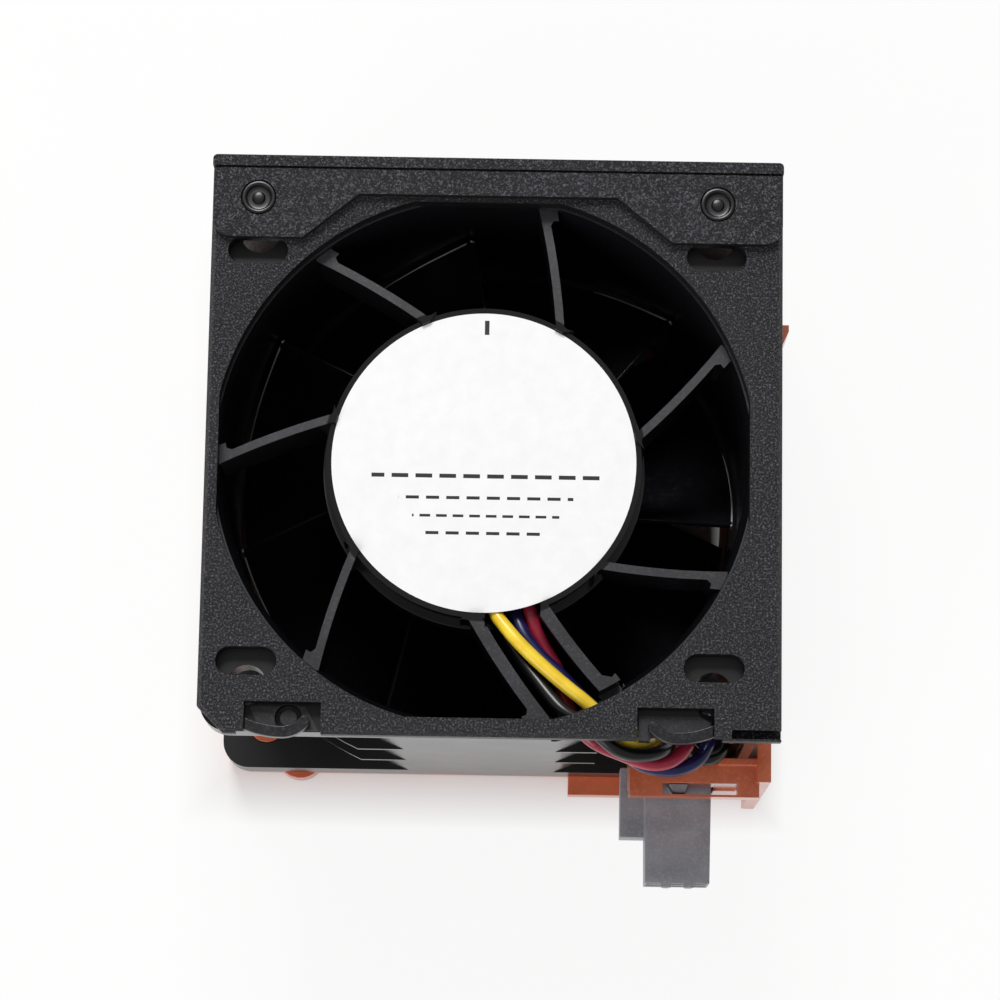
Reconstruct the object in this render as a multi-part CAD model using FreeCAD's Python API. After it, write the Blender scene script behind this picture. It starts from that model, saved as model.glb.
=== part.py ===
import FreeCAD, Part
import math
import os
from FreeCAD import Vector

# Hot-swap server fan module: a 60 mm axial fan held between an exhaust plate and a latch frame.
# Millimetres. +Z points out of the exhaust side, +Y to the top of the module when it is fitted,
# and the origin lies on the rotor axis in the plane that the module rests on.

# Fan body
fan_side = 60.0
fan_depth = 38.0
fan_corner_radius = 3.0
flange_thickness = 4.0
bore_margin = 1.4  # least wall between the bore and a side of the square
mouth_flare = 0.7
mouth_depth = 2.2
barrel_wall = 2.55
rib_reach = 1.75
rib_thickness = 0.8
rib_heights = (24.0, 14.0)
rib_end_x = 13.0
rib_end_height = 12.0
corner_post_width = 1.6
corner_post_length = 4.5
screw_hole_margin = 5.0
screw_hole_diameter = 4.3

# Openings in the fan body for the leads: out of the motor base, over the barrel and past the flange
lead_exit_left = 0.4
lead_exit_right = 6.4
lead_exit_wall = 2.4
lead_exit_height = 3.6
lead_way_left = 7.8
lead_way_right = 15.4
lead_way_drop = 4.6
lead_notch_left = 9.5
lead_notch_right = 16.6
lead_notch_depth = 4.8
lead_notch_step_right = 27.0
lead_notch_step_depth = 0.8

# Motor base, struts and label
base_radius = 17.2
base_step = 0.5
base_step_height = 3.0
base_wall = 1.2
base_height = 8.0
base_drop = 1.0
base_roof = 2.0
label_margin = 0.6
label_thickness = 0.12
label_seat_clearance = 0.1
strut_count = 7
strut_first_angle = 181.0
strut_sweep = 17.5
strut_bow = 0.3
strut_width = 0.9
strut_height = 8.0
strut_drop = 0.4
strut_embed = 0.6
strut_foot_width = 1.1
strut_foot_length = 2.2
strut_root_width = 3.0
strut_root_length = 1.6
channel_strut_index = 2
channel_strut_width = 1.35
channel_strut_angle = -60.8
channel_strut_sweep = 7.2

# Carrier: latch frame on the intake side, plate on the exhaust side, cover over the top
latch_frame_thickness = 4.0
latch_frame_recess = 0.35
intake_margin = 0.8
bump_x = -21.3
bump_half = 2.1
bump_rise = 0.95
bump_setback = 1.0
plate_thickness = 2.0
plate_overhang_left = 0.2
plate_overhang_right = 2.3
plate_overhang_bottom = 0.4
plate_bevel = 0.5
plate_chamfer = 2.85
plate_step_height = 1.15
plate_step_lip = 0.25
plate_step_depth = 1.6
opening_margin = 0.9
opening_flat_margin_x = 1.25
opening_flat_margin_y = 1.6
slot_length = 6.5
slot_width = 3.0
slot_shift_x = 0.05
slot_shift_y = 2.35
cover_gap = 1.9
cover_thickness = 1.25
cover_back = 0.3
cover_groove_count = 4
cover_groove_half = 11.0
cover_groove_start = 14.0
cover_groove_pitch = 4.0
cover_groove_width = 1.2
cover_groove_depth = 0.6
cover_edge_radius = 0.5

# Flap and its rivets
flap_thickness = 1.0
flap_drop = 8.0
flap_waist_drop = 3.0
flap_waist_half = 14.1
flap_foot_x = 20.2
flap_corner_radius = 2.1
flap_inset_left = 0.2
flap_inset_right = 0.1
flap_line_width = 0.25
flap_line_depth = 0.35
rivet_margin = 4.9
rivet_drop = 3.55
rivet_head_radius = 1.85
rivet_head_depth = 0.6
rivet_head_clearance = 0.1
rivet_shank_radius = 1.3
rivet_shank_clearance = 0.03
rivet_dish_outer = 1.3
rivet_dish_inner = 0.7
rivet_dish_depth = 0.4

# Spring fingers in the plate's lower windows: a flat root arc, then a tight arc up to a round tip
window_inner_margin = 13.1
window_outer_margin = 4.9
window_height = 3.4
window_pocket_depth = 2.5
finger_width = 1.2
finger_thickness = 1.4
finger_low_x = 21.1
finger_lift = 0.2
finger_root_arc_radius = 10.0
finger_tip_arc_radius = 3.2
finger_tip_angle = 50.0
finger_root_reach = 0.9
finger_knuckle_radius = 0.75
finger_knuckle_drop = 0.45
finger_skin_clearance = 0.08
knuckle_clearance = 0.08
finger_clearance = 0.12
window_pad_height = 0.4
window_pad_thickness = 1.0
window_pad_setback = 0.1
window_pad_gap = 0.2
window_tongue_width = 1.4
window_boss_x = -20.4
window_boss_lift = 1.4
window_boss_radius = 0.9
window_well_radius = 1.5

# Rotor
shaft_radius = 1.5
hub_radius = 17.0
hub_wall = 1.3
hub_front = 6.2
hub_gap = 2.8
hub_edge_radius = 1.6
blade_count = 7
blade_tip_clearance = 0.5
blade_reference_angle = 174.0
blade_thickness = 1.2
blade_edge_thickness = 0.5
blade_camber = 3.0
yoke_clearance = 0.05
yoke_wall = 0.8
yoke_setback = 2.7
magnet_wall = 2.1
magnet_start = 11.5
bushing_radius = 3.0
bushing_length = 4.0

# Stator and bearings
air_gap = 0.5
core_length = 12.0
core_start = 13.5
core_eye_wall = 2.2
pole_count = 4
pole_width = 3.6
pole_shoe_thickness = 1.7
pole_shoe_angle = 74.0
winding_build = 1.5
winding_clearance = 0.05
winding_end_gap = 0.3
insulator_thickness = 0.8
tube_radius = 5.0
bearing_outer_radius = 4.0
bearing_width = 4.0
bearing_ring_wall = 0.7
ball_count = 7
ball_clearance = 0.05
tube_start = 12.0
lower_bearing_start = 13.0
upper_bearing_drop = 10.5
shaft_end_length = 1.6
shaft_groove_depth = 0.3
clip_radius = 2.6
clip_thickness = 0.4
clip_gap_half = 0.9
clip_clearance = 0.1
washer_radius = 2.7
washer_rim = 0.6

# Circuit board
board_margin = 0.4
board_thickness = 1.0
board_clearance = 0.3
board_lift = 2.4
board_notch_angle = -78.0
board_notch_half = 3.4
board_notch_depth = 1.6
board_post_radius = 1.0
board_post_circle = 12.0
chip_side = 5.0
chip_height = 1.3
chip_x = 9.7
chip_pin_count = 7
chip_pin_pitch = 0.65
chip_pin_width = 0.3
chip_pin_reach = 0.9
hall_length = 3.2
hall_width = 1.6
hall_height = 1.1
hall_margin = 2.2
hall_angle = 118.0
capacitor_radius = 2.0
capacitor_height = 3.4
capacitor_circle = 10.6
capacitor_angle = 228.0
resistor_length = 2.0
resistor_width = 1.2
resistor_height = 0.55
resistor_circle = 11.0
resistor_angles = (60.0, 78.0, 150.0, 168.0, 265.0, 300.0)

# Latch arm on the right side
latch_hinge_margin = 1.1
latch_hinge_y = 2.4
latch_arm_thickness = 1.3
latch_arm_start = 19.6
latch_arm_width = 6.8
latch_knuckle_radius = 0.7
latch_neck_half = 0.5
latch_hook_reach = 4.3
latch_hook_depth = 8.2
latch_hook_length = 6.2
latch_hook_land = 0.7
latch_hook_face = 2.7
latch_hook_setback = 0.9
latch_tip_drop = 4.3
latch_post_bottom = -9.0
latch_post_gap = 0.1
latch_post_top = 27.4
latch_grip_length = 3.1
latch_ridge_rise = 0.4
latch_ridge_width = 0.5
latch_relief_depth = 0.9
latch_relief_start = 2.0
latch_relief_margin = 0.6

# Connector, its holder and the leads
connector_width = 7.5
connector_thickness = 5.4
connector_length = 14.3
connector_margin = 7.75
connector_z = 20.2
connector_setback = 0.4
connector_taper = 0.15
tooth_length = 0.45
tooth_width = 1.2
tooth_height = 1.5
tab_length = 2.2
tab_depth = 1.0
tab_lean = 0.3
contact_columns = 3
contact_pitch = 2.5
contact_row_pitch = 2.5
contact_length = 8.0
contact_wall = 0.2
contact_setback = 1.0
cavity_size = 1.7
ear_width = 2.6
ear_thickness = 3.6
ear_reach = 8.9
ear_inset = 1.0
ear_drop = 2.0
holder_reach_left = 5.6
holder_margin_right = 1.2
holder_depth = 4.6
holder_gap = 0.3
holder_top = 27.0
holder_bottom = 14.0
holder_clearance = 0.2
holder_lip_height = 2.7
holder_lip_depth = 1.2
holder_ridge_height = 0.6
holder_ridge_width = 0.8
holder_ridge_left = 26.6
window_slot_left = 20.4
window_slot_right = 28.7
window_slot_front = 0.25
window_slot_width = 1.25
ledge_reach = 6.4
ledge_depth = 2.0
ledge_thickness = 2.4
bracket_thickness = 1.5
bracket_front = 3.05
bracket_back = 1.7
bracket_top = 28.5
lead_diameter = 1.5
lead_stack_drop = 2.55
lead_layer_gap = 0.05

# Levels and edges worked out from the sizes above
half_side = fan_side / 2
fan_back = latch_frame_thickness
fan_face = fan_back + fan_depth
plate_face = fan_face + plate_thickness
flap_face = plate_face + flap_thickness
bore_radius = half_side - bore_margin
mouth_radius = bore_radius + mouth_flare
barrel_radius = bore_radius + barrel_wall
rib_radius = barrel_radius + rib_reach
screw_hole_offset = half_side - screw_hole_margin
base_top = fan_face - base_drop
base_bottom = base_top - base_height
board_radius = base_radius - base_wall - board_margin
hall_circle = board_radius - hall_margin
label_radius = base_radius - label_margin
strut_outer_radius = bore_radius + strut_embed
strut_inner_radius = base_radius - strut_embed
plate_left = -half_side - plate_overhang_left
plate_right = half_side + plate_overhang_right
plate_bottom = -half_side - plate_overhang_bottom
opening_radius = bore_radius + opening_margin
opening_flat_x = half_side - opening_flat_margin_x
opening_flat_y = half_side - opening_flat_margin_y
slot_offset_x = screw_hole_offset + slot_shift_x
slot_offset_y = screw_hole_offset - slot_shift_y
cover_underside = half_side + cover_gap
cover_top = cover_underside + cover_thickness
flap_bottom = cover_underside - flap_drop
flap_waist = cover_underside - flap_waist_drop
rivet_x = half_side - rivet_margin
rivet_y = cover_underside - rivet_drop
window_inner_x = half_side - window_inner_margin
window_outer_x = half_side - window_outer_margin
window_top = plate_bottom + window_height
finger_low_y = plate_bottom + finger_lift
finger_hinge_x = window_outer_x + finger_root_reach
tip_radius = bore_radius - blade_tip_clearance
hub_back = base_bottom - hub_gap
yoke_radius = hub_radius - hub_wall - yoke_clearance
yoke_length = hub_back - hub_front - hub_wall - yoke_setback
magnet_radius = yoke_radius - yoke_wall
magnet_length = hub_front + hub_wall + yoke_length - magnet_start
core_radius = magnet_radius - magnet_wall - air_gap
upper_bearing_start = base_top - upper_bearing_drop
board_bottom = base_bottom + board_lift
board_top = board_bottom + board_thickness
latch_hinge_x = half_side + latch_hinge_margin
latch_tip = cover_underside - latch_tip_drop
latch_hook_x = half_side + latch_hook_reach
latch_hook_top = latch_tip - latch_hook_depth
latch_hook_bottom = latch_hook_top - latch_hook_length
connector_x = half_side - connector_margin
connector_back = -half_side + connector_setback
connector_front = connector_back - connector_length
ear_back = connector_back - ear_inset
ear_front = ear_back - ear_reach + ear_inset
holder_left = connector_x - holder_reach_left
holder_right = plate_right - holder_margin_right
holder_front = -half_side - holder_depth
holder_back = -half_side - holder_gap
ledge_left = holder_left - ledge_reach
ledge_front = -half_side - ledge_depth
lead_end = connector_front + contact_setback + contact_length + contact_wall
past = 1.0  # how far a cutting tool runs past the face that it cuts


def block(x0, x1, y0, y1, z0, z1):
    return Part.makeBox(x1 - x0, y1 - y0, z1 - z0, Vector(x0, y0, z0))


def disc(radius, z0, z1, x=0.0, y=0.0):
    return Part.makeCylinder(radius, z1 - z0, Vector(x, y, z0))


def ring(outer, inner, z0, z1, x=0.0, y=0.0):
    return disc(outer, z0, z1, x, y).cut(disc(inner, z0 - past, z1 + past, x, y))


def turned(shape, degrees):
    copy = shape.copy()
    copy.rotate(Vector(0, 0, 0), Vector(0, 0, 1), degrees)
    return copy


def mirrored(shape):
    return shape.mirror(Vector(0, 0, 0), Vector(1, 0, 0))


def polar(radius, degrees):
    angle = math.radians(degrees)
    return radius * math.cos(angle), radius * math.sin(angle)


def prism(outline, z0, z1):
    """A prism over a closed outline, whose items are (x, y) corners or a (middle, end) pair of an arc."""
    start = Vector(outline[0][0], outline[0][1], z0)
    edges = []
    here = start
    for item in outline[1:] + [outline[0]]:
        if isinstance(item[0], tuple):
            middle = Vector(item[0][0], item[0][1], z0)
            end = Vector(item[1][0], item[1][1], z0)
            edges.append(Part.Arc(here, middle, end).toShape())
        else:
            end = Vector(item[0], item[1], z0)
            if here.distanceToPoint(end) > 1e-6:
                edges.append(Part.LineSegment(here, end).toShape())
        here = end
    face = Part.Face(Part.Wire(edges))
    return face.extrude(Vector(0, 0, z1 - z0))


def rounded_block(x0, x1, y0, y1, z0, z1, radius):
    body = block(x0, x1, y0, y1, z0, z1)
    corners = [edge for edge in body.Edges if edge.tangentAt(edge.FirstParameter).z ** 2 > 0.9]
    return body.makeFillet(radius, corners)


def obround(x, y, length, width, z0, z1):
    half = (length - width) / 2
    body = block(x - half, x + half, y - width / 2, y + width / 2, z0, z1)
    for side in (-half, half):
        body = body.fuse(disc(width / 2, z0, z1, x + side, y))
    return body


def four_corners(offset_x, offset_y):
    return [(sx * offset_x, sy * offset_y) for sx in (-1, 1) for sy in (-1, 1)]


def fused(shapes):
    first = shapes[0]
    return first.fuse(shapes[1:]).removeSplitter()


# Fan body

def strut(outer_angle, sweep, width, foot_side):
    """A curved vane from the barrel to the motor base, with a foot at its outer end and a broad root."""
    x1, y1 = polar(strut_outer_radius, outer_angle)
    x2, y2 = polar(strut_inner_radius, outer_angle - sweep)
    length = math.hypot(x2 - x1, y2 - y1)
    ux, uy = (x2 - x1) / length, (y2 - y1) / length
    nx, ny = -uy * foot_side, ux * foot_side
    half = width / 2

    def at(along, across):
        return x1 + ux * along + nx * across, y1 + uy * along + ny * across

    middle = length / 2
    bow = strut_bow * foot_side
    root_start = length - strut_root_length
    top = fan_face - strut_drop
    outline = [
        at(0, half),
        (at(middle, half + bow), at(length, half)),
        at(length, -half),
        (at(middle, bow - half), at(0, -half)),
    ]
    foot = [
        at(0, half - width),
        at(0, half + strut_foot_width),
        at(strut_foot_length * 0.8, half + strut_foot_width),
        at(strut_foot_length * 0.75, half + strut_foot_width * 0.5),
        at(strut_foot_length * 1.2, half - width / 4),
    ]
    root = [
        at(length, strut_root_width / 2),
        at(length, -strut_root_width / 2),
        (at(length - strut_root_length * 0.35, -half * 1.2), at(root_start, -width / 4)),
        at(root_start, width / 4),
        (at(length - strut_root_length * 0.35, half * 1.2), at(length, strut_root_width / 2)),
    ]
    return fused([prism(points, top - strut_height, top) for points in (outline, foot, root)])


def strut_angles():
    return [strut_first_angle + index * 360.0 / strut_count for index in range(strut_count)]


def motor_base():
    cup = disc(base_radius, base_bottom, base_top)
    cup = cup.fuse(disc(base_radius + base_step, base_bottom, base_bottom + base_step_height))
    cup = cup.cut(disc(base_radius - base_wall, base_bottom - past, base_top - base_roof))
    tube = disc(tube_radius, tube_start, base_top - past)
    bore = disc(bearing_outer_radius, tube_start - past, base_top - base_roof)
    posts = [
        disc(board_post_radius, board_top, base_top - past, *polar(board_post_circle, angle))
        for angle in (90.0, 180.0, 0.0)
    ]
    return fused([cup, tube] + posts).cut(bore)


def flange(z0):
    body = rounded_block(-half_side, half_side, -half_side, half_side,
                         z0, z0 + flange_thickness, fan_corner_radius)
    for x, y in four_corners(screw_hole_offset, screw_hole_offset):
        body = body.cut(disc(screw_hole_diameter / 2, z0 - past, z0 + flange_thickness + past, x, y))
    return body


def in_square(shape):
    """What lies within the fan body's square."""
    return shape.common(block(-half_side, half_side, -half_side, half_side, 0, flap_face))


def latch_relief():
    """The shallow recess in the barrel that leaves room for the latch arm when it is squeezed."""
    return block(half_side - latch_relief_depth, half_side + past,
                 latch_hinge_y + latch_relief_start, half_side,
                 latch_arm_start - latch_relief_margin,
                 latch_arm_start + latch_arm_width + latch_relief_margin)


def fan_barrel():
    """The flanges, the barrel and its ribs, with the flared bore."""
    parts = [flange(fan_back), flange(fan_face - flange_thickness)]
    barrel = in_square(disc(barrel_radius, fan_back, fan_face))
    parts.append(barrel.cut(latch_relief()))
    rib_end = block(rib_end_x, half_side + past, -half_side - past, rib_end_height - half_side,
                    fan_back + flange_thickness, fan_face - flange_thickness)
    for height in rib_heights:
        top = fan_back + height
        parts.append(in_square(disc(rib_radius, top - rib_thickness, top)).cut(rib_end))
    shell = fused(parts).cut(disc(bore_radius, 0, flap_face))
    for start, narrow, wide in ((fan_face - mouth_depth, bore_radius, mouth_radius),
                                (fan_back, mouth_radius, bore_radius)):
        shell = shell.cut(Part.makeCone(narrow, wide, mouth_depth, Vector(0, 0, start)))
    return shell


def struts():
    vanes = []
    for index, angle in enumerate(strut_angles()):
        width = channel_strut_width if index == channel_strut_index else strut_width
        vanes.append(strut(angle, strut_sweep, width, 1))
    vanes.append(strut(channel_strut_angle, channel_strut_sweep, channel_strut_width, -1))
    return [vane.common(disc(strut_outer_radius, 0, flap_face)) for vane in vanes]


def left_window_pad():
    """The raised pad on the flange that shows in the plate's left window."""
    low = -half_side + window_pad_setback
    return prism([(-24.6, low + 2.6), (-18.6, low + 2.6), (-17.2, low), (-23.6, low)],
                 fan_face - past, fan_face + window_pad_height)


def right_window_pad():
    """The pad in the right window, whose tongue reaches the plate's lower edge over the leads."""
    low = -half_side + window_pad_setback
    left = window_inner_x + window_pad_gap
    tongue = left + window_tongue_width
    return prism([(left, low + 2.2), (23.6, low + 2.2), (24.7, low + 1.6), (24.7, low + 1.0), (23.8, low),
                  (tongue, low), (tongue - window_pad_gap, plate_bottom), (left, plate_bottom)],
                 fan_face - window_pad_thickness, fan_face + window_pad_height)


def corner_post():
    """The post between the flanges at the corner where the leads turn down to the connector."""
    post = rounded_block(-half_side, half_side, -half_side, half_side, fan_back, fan_face, fan_corner_radius)
    return post.common(block(half_side - corner_post_width, half_side, -half_side,
                             corner_post_length - half_side, fan_back, fan_face))


def lead_openings():
    """What is cut away where the leads leave the motor base, cross the barrel and pass the flange."""
    low = fan_face - lead_way_drop
    flange_low = fan_face - flange_thickness - past
    notch = block(lead_notch_left, lead_notch_right, -half_side - past, -half_side + lead_notch_depth,
                  flange_low, flap_face)
    step = block(lead_notch_right - past, lead_notch_step_right, -half_side - past,
                 -half_side + lead_notch_step_depth, flange_low, flap_face)
    way = block(lead_way_left, lead_way_right, -half_side - past, -half_side * 0.75, low, flap_face)
    wall = ring(barrel_radius + past, bore_radius - past / 2, 0, flap_face)
    leaving = block(lead_exit_left, lead_exit_right, -base_radius - base_step - past / 2,
                    lead_exit_wall + past - base_radius, base_bottom + lead_exit_height, base_top + past)
    return [notch.fuse(step).cut(disc(barrel_radius, 0, flap_face)), way.common(wall), leaving]


def fan_frame():
    body = fused([fan_barrel(), motor_base(), left_window_pad(), corner_post()] + struts())
    well = ring(window_well_radius, window_boss_radius, fan_face - past, flap_face,
                window_boss_x, -half_side + window_boss_lift)
    pocket = prism([(23.4, -26.9), (25.3, -26.9), (25.3, -29.0), (24.9, -29.0), (24.9, -28.2), (23.7, -27.6)],
                   fan_face - window_pocket_depth, flap_face)
    seat = disc(label_radius + label_seat_clearance, base_top, flap_face)
    for tool in [well, pocket, seat] + lead_openings():
        body = body.cut(tool)
    return body.fuse(right_window_pad())


# Stator, bearings and circuit board

def sector(outer, inner, angle, z0, z1):
    """A ring segment centred on +X."""
    a = math.radians(angle / 2)
    far = outer * 1.6
    wedge = prism([(0, 0), (far * math.cos(a), -far * math.sin(a)), (far, 0),
                   (far * math.cos(a), far * math.sin(a))], z0, z1)
    return ring(outer, inner, z0, z1).common(wedge)


def stator_cross(z0, z1, grow):
    """The core's plan: an eye on the bearing tube, four teeth and their pole shoes."""
    eye = tube_radius + core_eye_wall + grow
    parts = [disc(eye, z0, z1)]
    for index in range(pole_count):
        tooth = block(0, core_radius - pole_shoe_thickness / 2, -pole_width / 2 - grow,
                      pole_width / 2 + grow, z0, z1)
        shoe = sector(core_radius, core_radius - pole_shoe_thickness, pole_shoe_angle, z0, z1)
        parts.append(turned(tooth.fuse(shoe), 45.0 + index * 360.0 / pole_count))
    return fused(parts).cut(disc(tube_radius, z0 - past, z1 + past))


def stator_core():
    return stator_cross(core_start, core_start + core_length, 0.0)


def stator_insulators():
    top = core_start + core_length
    return Part.makeCompound([
        stator_cross(core_start - insulator_thickness, core_start, 0.0),
        stator_cross(top, top + insulator_thickness, 0.0),
    ])


def stator_windings():
    """One coil around each tooth, between the eye and the pole shoe."""
    inner_x = tube_radius + core_eye_wall + winding_end_gap
    outer_x = core_radius - pole_shoe_thickness - winding_end_gap
    low = core_start - insulator_thickness
    high = core_start + core_length + insulator_thickness
    half = pole_width / 2 + winding_clearance
    coils = []
    for index in range(pole_count):
        build = winding_build
        outside = rounded_block(inner_x, outer_x, -half - build, half + build, low - build, high + build, 0.2)
        coil = outside.cut(block(inner_x - past, outer_x + past, -half, half, low, high))
        room = disc(outer_x, low - past - build, high + past + build)
        coils.append(turned(coil.common(room), 45.0 + index * 360.0 / pole_count))
    return Part.makeCompound(coils)


def bearing_outer_rings():
    return Part.makeCompound([
        ring(bearing_outer_radius, bearing_outer_radius - bearing_ring_wall, z, z + bearing_width)
        for z in (lower_bearing_start, upper_bearing_start)
    ])


def bearing_inner_rings():
    return Part.makeCompound([
        ring(shaft_radius + bearing_ring_wall, shaft_radius, z, z + bearing_width)
        for z in (lower_bearing_start, upper_bearing_start)
    ])


def bearing_balls():
    inside = shaft_radius + bearing_ring_wall
    outside = bearing_outer_radius - bearing_ring_wall
    radius = (outside - inside) / 2 - ball_clearance
    balls = []
    for z in (lower_bearing_start, upper_bearing_start):
        for index in range(ball_count):
            x, y = polar((inside + outside) / 2, index * 360.0 / ball_count)
            balls.append(Part.makeSphere(radius, Vector(x, y, z + bearing_width / 2)))
    return Part.makeCompound(balls)


def circuit_board():
    board = ring(board_radius, tube_radius + board_clearance, board_bottom, board_top)
    x, y = polar(board_radius, board_notch_angle)
    return board.cut(block(x - board_notch_half, x + board_notch_half, y - past * 2, y + board_notch_depth,
                           board_bottom - past, board_top + past))


def driver_chip():
    half = chip_side / 2
    low = board_bottom - chip_height
    parts = [block(chip_x - half, chip_x + half, -half, half, low, board_bottom)]
    first = chip_x - (chip_pin_count - 1) / 2 * chip_pin_pitch
    for index in range(chip_pin_count):
        x = first + index * chip_pin_pitch
        parts.append(block(x - chip_pin_width / 2, x + chip_pin_width / 2, -half - chip_pin_reach,
                           half + chip_pin_reach, board_bottom - chip_pin_width, board_bottom))
    return fused(parts)


def under_board(length, width, height, x, y):
    """A block that is soldered to the board's lower face."""
    return block(x - length / 2, x + length / 2, y - width / 2, y + width / 2,
                 board_bottom - height, board_bottom)


def hall_sensor():
    return under_board(hall_length, hall_width, hall_height, *polar(hall_circle, hall_angle))


def capacitor():
    return disc(capacitor_radius, board_bottom - capacitor_height, board_bottom,
                *polar(capacitor_circle, capacitor_angle))


def small_resistors():
    return Part.makeCompound([
        under_board(resistor_length, resistor_width, resistor_height, *polar(resistor_circle, angle))
        for angle in resistor_angles
    ])


# Rotor

def blade_section(distance):
    """The blade's section in the plane at this distance from the axis, +Y being ahead in rotation."""
    lead_y = 9.0 + 0.1 * distance
    trail_y = -4.2 - 0.379 * distance
    lead_z = hub_front - 0.3 + 0.12 * distance
    trail_z = hub_back + 3.1 - 0.19 * distance
    rise = trail_z - lead_z
    run = lead_y - trail_y
    length = math.hypot(rise, run)
    ny, nz = -rise / length, -run / length
    half = blade_thickness / 2
    edge = blade_edge_thickness / 2
    my, mz = (lead_y + trail_y) / 2 + ny * blade_camber, (lead_z + trail_z) / 2 + nz * blade_camber

    def point(y, z, offset):
        return Vector(distance, y + ny * offset, z + nz * offset)

    outer = Part.Arc(point(lead_y, lead_z, edge), point(my, mz, half), point(trail_y, trail_z, edge))
    inner = Part.Arc(point(trail_y, trail_z, -edge), point(my, mz, -half), point(lead_y, lead_z, -edge))
    trail = Part.LineSegment(outer.EndPoint, inner.StartPoint)
    lead = Part.LineSegment(inner.EndPoint, outer.StartPoint)
    return Part.Wire([outer.toShape(), trail.toShape(), inner.toShape(), lead.toShape()])


def impeller():
    blade = Part.makeLoft([blade_section(hub_radius * 0.7), blade_section(tip_radius * 1.05)], True, True)
    room = ring(tip_radius, hub_radius - hub_wall / 2, hub_front + past, hub_back + past * 2)
    blade = blade.common(room)
    hub = disc(hub_radius, hub_front, hub_back)
    front_rim = [edge for edge in hub.Edges if abs(edge.CenterOfMass.z - hub_front) < 1e-6]
    hub = hub.makeFillet(hub_edge_radius, front_rim)
    pitch = 360.0 / blade_count
    blades = [turned(blade, blade_reference_angle + index * pitch) for index in range(blade_count)]
    body = fused([hub] + blades)
    body = body.cut(disc(hub_radius - hub_wall, hub_front + hub_wall, hub_back + past))
    return body.cut(disc(bushing_radius, hub_front - past, hub_front + hub_wall + past))


def hub_bushing():
    return ring(bushing_radius, shaft_radius, hub_front, hub_front + bushing_length)


def rotor_yoke():
    z0 = hub_front + hub_wall
    cup = disc(yoke_radius, z0, z0 + yoke_length)
    cup = cup.cut(disc(yoke_radius - yoke_wall, z0 + yoke_wall, z0 + yoke_length + past))
    return cup.cut(disc(bushing_radius, z0 - past, z0 + yoke_wall + past))


def magnet_ring():
    return ring(magnet_radius, magnet_radius - magnet_wall, magnet_start, magnet_start + magnet_length)


def shaft():
    groove_start = upper_bearing_start + bearing_width + clip_clearance
    top = groove_start + clip_thickness + shaft_end_length
    body = disc(shaft_radius, hub_front + clip_clearance * 2, top)
    groove = ring(shaft_radius + past, shaft_radius - shaft_groove_depth, groove_start,
                  groove_start + clip_thickness)
    return body.cut(groove)


def retaining_clip():
    z0 = upper_bearing_start + bearing_width + clip_clearance
    clip = ring(clip_radius, shaft_radius - shaft_groove_depth, z0, z0 + clip_thickness)
    return clip.cut(block(0, clip_radius + past, -clip_gap_half, clip_gap_half,
                          z0 - past, z0 + clip_thickness + past))


def preload_spring():
    """A conical spring washer pressed between the rotor's bushing and the lower inner ring."""
    z0 = hub_front + bushing_length
    z1 = lower_bearing_start
    outer = Part.makeCone(washer_radius, shaft_radius + washer_rim, z1 - z0, Vector(0, 0, z0))
    inner = Part.makeCone(washer_radius - washer_rim, shaft_radius + yoke_clearance,
                          z1 - z0, Vector(0, 0, z0))
    return outer.cut(inner)


# Carrier

def plate_outline(z0, z1):
    chamfer = plate_chamfer
    body = prism([
        (plate_left, cover_underside),
        (plate_left, plate_bottom + chamfer),
        (plate_left + chamfer, plate_bottom),
        (plate_right, plate_bottom),
        (plate_right, cover_underside),
    ], z0, z1)
    bevels = [edge for edge in body.Edges
              if abs(edge.CenterOfMass.z - z1) < 1e-6 and edge.CenterOfMass.y < cover_underside - past]
    return body.makeChamfer(plate_bevel, bevels)


def window_room():
    """The left window and its finger's root, which runs under the plate's skin to the knuckle."""
    z0, z1 = fan_face, plate_face
    window = block(-window_outer_x, -window_inner_x, plate_bottom - past, window_top, z0 - past, z1 + past)
    hinge_y = finger_hinge_y()
    skin = z1 - finger_knuckle_drop + finger_skin_clearance
    socket = disc(finger_knuckle_radius + knuckle_clearance, z0 - past, skin, -finger_hinge_x, hinge_y)
    throat_half = finger_width / 2 + finger_clearance
    throat = block(-finger_hinge_x, -window_outer_x + past, plate_bottom - past, hinge_y + throat_half,
                   z0 - past, skin)
    return window.fuse([socket, throat])


def exhaust_plate():
    z0, z1 = fan_face, plate_face
    plate = plate_outline(z0, z1)
    opening = disc(opening_radius, z0 - past, z1 + past)
    opening = opening.common(block(-opening_flat_x, opening_flat_x, -opening_flat_y, opening_flat_y,
                                   z0 - past, z1 + past))
    tools = [opening]
    for x, y in four_corners(slot_offset_x, slot_offset_y):
        tools.append(obround(x, y, slot_length, slot_width, z0 - past, z1 + past))
    for side in (-1, 1):
        tools.append(disc(rivet_shank_radius, z0 - past, z1 + past, side * rivet_x, rivet_y))
    tools.append(block(lead_notch_step_right, plate_right + past, plate_bottom + plate_step_lip,
                       plate_bottom + plate_step_height, z1 - plate_step_depth, z1 + past))
    tools += [window_room(), mirrored(window_room())]
    for tool in tools:
        plate = plate.cut(tool)
    return plate


def finger_hinge_y():
    """The finger's middle line falls from the knuckle to its lowest point along the root arc."""
    across = finger_hinge_x - finger_low_x
    return finger_low_y + finger_root_arc_radius - math.sqrt(finger_root_arc_radius ** 2 - across ** 2)


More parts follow.
